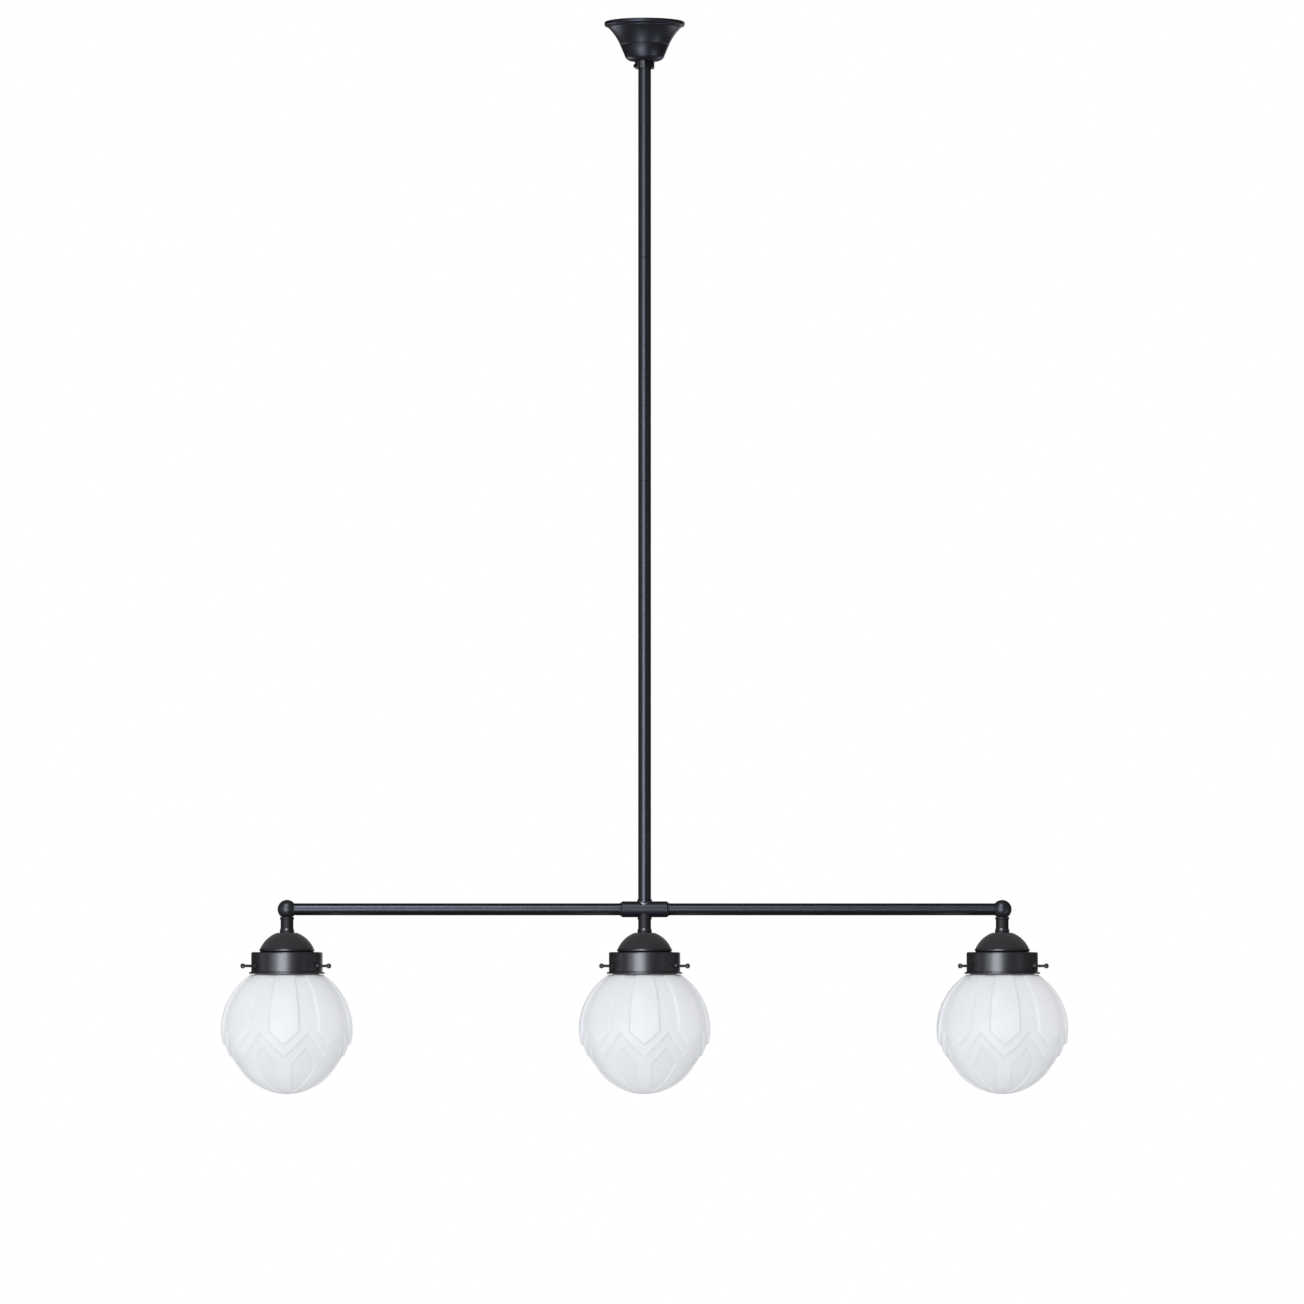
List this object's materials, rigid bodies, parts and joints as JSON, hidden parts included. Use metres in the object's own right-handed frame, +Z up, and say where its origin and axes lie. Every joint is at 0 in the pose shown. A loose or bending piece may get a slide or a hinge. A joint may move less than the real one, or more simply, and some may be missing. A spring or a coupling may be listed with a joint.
{
  "type": "linear island pendant",
  "caption": "Ceiling pendant: canopy and rigid downrod carry a straight rail with opal glass globes in screwed galleries, pressed with stepped petals.",
  "frame": {"origin": "on the downrod's axis in the plane of the ceiling, midway between the strap's two slots", "axes": "+Z up out of the ceiling along the rod, +X along the arms to the right, -Y towards the front of the lamp"},
  "size_m": [0.985, 0.153, 1.2506],
  "materials": {
    "black_lacquer": "satin black lacquer",
    "black_matt": "matt black powder coat",
    "black_screws": "satin black, worn at the knob",
    "opal_glass": "glossy pressed opal white",
    "zinc_steel": "zinc plated",
    "black_insulator": "moulded, slightly glossy",
    "white_insulator": "moulded, matt",
    "brass": "plain stamped brass"
  },
  "bodies": {
    "frame": {"ceiling_bracket": "zinc_steel", "ceiling_nipple": "zinc_steel", "nipple_nuts": "zinc_steel", "terminal_block": "white_insulator", "terminal_screw": "zinc_steel", "downrod_upper": "black_lacquer", "downrod_middle": "black_lacquer", "downrod_lower": "black_lacquer", "coupler_upper": "zinc_steel", "coupler_lower": "zinc_steel", "rod_nipple": "zinc_steel", "saddle_washer": "black_lacquer", "tee_fitting": "black_lacquer", "arm_right": "black_lacquer", "arm_left": "black_lacquer", "ball_elbow_right": "black_lacquer", "ball_elbow_left": "black_lacquer", "arm_nipples": "zinc_steel", "locknuts": "zinc_steel", "centre_contacts": "brass", "drop_stub_left": "black_lacquer", "lamp_nipple_left": "zinc_steel", "dome_cap_left": "black_matt", "gallery_left": "black_lacquer", "holder_cap_left": "black_insulator", "holder_body_left": "black_insulator", "socket_shell_left": "brass", "globe_left": "opal_glass", "drop_stub_centre": "black_lacquer", "lamp_nipple_centre": "zinc_steel", "dome_cap_centre": "black_matt", "gallery_centre": "black_lacquer", "holder_cap_centre": "black_insulator", "holder_body_centre": "black_insulator", "socket_shell_centre": "brass", "globe_centre": "opal_glass", "drop_stub_right": "black_lacquer", "lamp_nipple_right": "zinc_steel", "dome_cap_right": "black_matt", "gallery_right": "black_lacquer", "holder_cap_right": "black_insulator", "holder_body_right": "black_insulator", "socket_shell_right": "brass", "globe_right": "opal_glass"},
    "canopy": {"canopy_cup": "black_lacquer", "canopy_collar": "black_lacquer"},
    "collar_screw": {"collar_screw": "black_screws"},
    "thumbscrew_left_1": {"thumbscrew_left_1": "black_screws"},
    "thumbscrew_left_2": {"thumbscrew_left_2": "black_screws"},
    "thumbscrew_left_3": {"thumbscrew_left_3": "black_screws"},
    "thumbscrew_centre_1": {"thumbscrew_centre_1": "black_screws"},
    "thumbscrew_centre_2": {"thumbscrew_centre_2": "black_screws"},
    "thumbscrew_centre_3": {"thumbscrew_centre_3": "black_screws"},
    "thumbscrew_right_1": {"thumbscrew_right_1": "black_screws"},
    "thumbscrew_right_2": {"thumbscrew_right_2": "black_screws"},
    "thumbscrew_right_3": {"thumbscrew_right_3": "black_screws"}
  },
  "joints": [
    {"name": "canopy_slide", "type": "slide", "parent": "frame", "child": "canopy", "axis": [0, 0, -1], "range_m": [0, 0.969]},
    {"name": "collar_screw_travel", "type": "slide", "parent": "canopy", "child": "collar_screw", "axis": [-0.9063, -0.4226, 0], "range_m": [0, 0.003]},
    {"name": "thumbscrew_left_1_travel", "type": "slide", "parent": "frame", "child": "thumbscrew_left_1", "axis": [0, 1, 0], "range_m": [0, 0.005]},
    {"name": "thumbscrew_left_2_travel", "type": "slide", "parent": "frame", "child": "thumbscrew_left_2", "axis": [-0.866, -0.5, 0], "range_m": [0, 0.005]},
    {"name": "thumbscrew_left_3_travel", "type": "slide", "parent": "frame", "child": "thumbscrew_left_3", "axis": [0.866, -0.5, 0], "range_m": [0, 0.005]},
    {"name": "thumbscrew_centre_1_travel", "type": "slide", "parent": "frame", "child": "thumbscrew_centre_1", "axis": [0, 1, 0], "range_m": [0, 0.005]},
    {"name": "thumbscrew_centre_2_travel", "type": "slide", "parent": "frame", "child": "thumbscrew_centre_2", "axis": [-0.866, -0.5, 0], "range_m": [0, 0.005]},
    {"name": "thumbscrew_centre_3_travel", "type": "slide", "parent": "frame", "child": "thumbscrew_centre_3", "axis": [0.866, -0.5, 0], "range_m": [0, 0.005]},
    {"name": "thumbscrew_right_1_travel", "type": "slide", "parent": "frame", "child": "thumbscrew_right_1", "axis": [0, 1, 0], "range_m": [0, 0.005]},
    {"name": "thumbscrew_right_2_travel", "type": "slide", "parent": "frame", "child": "thumbscrew_right_2", "axis": [-0.866, -0.5, 0], "range_m": [0, 0.005]},
    {"name": "thumbscrew_right_3_travel", "type": "slide", "parent": "frame", "child": "thumbscrew_right_3", "axis": [0.866, -0.5, 0], "range_m": [0, 0.005]}
  ]
}
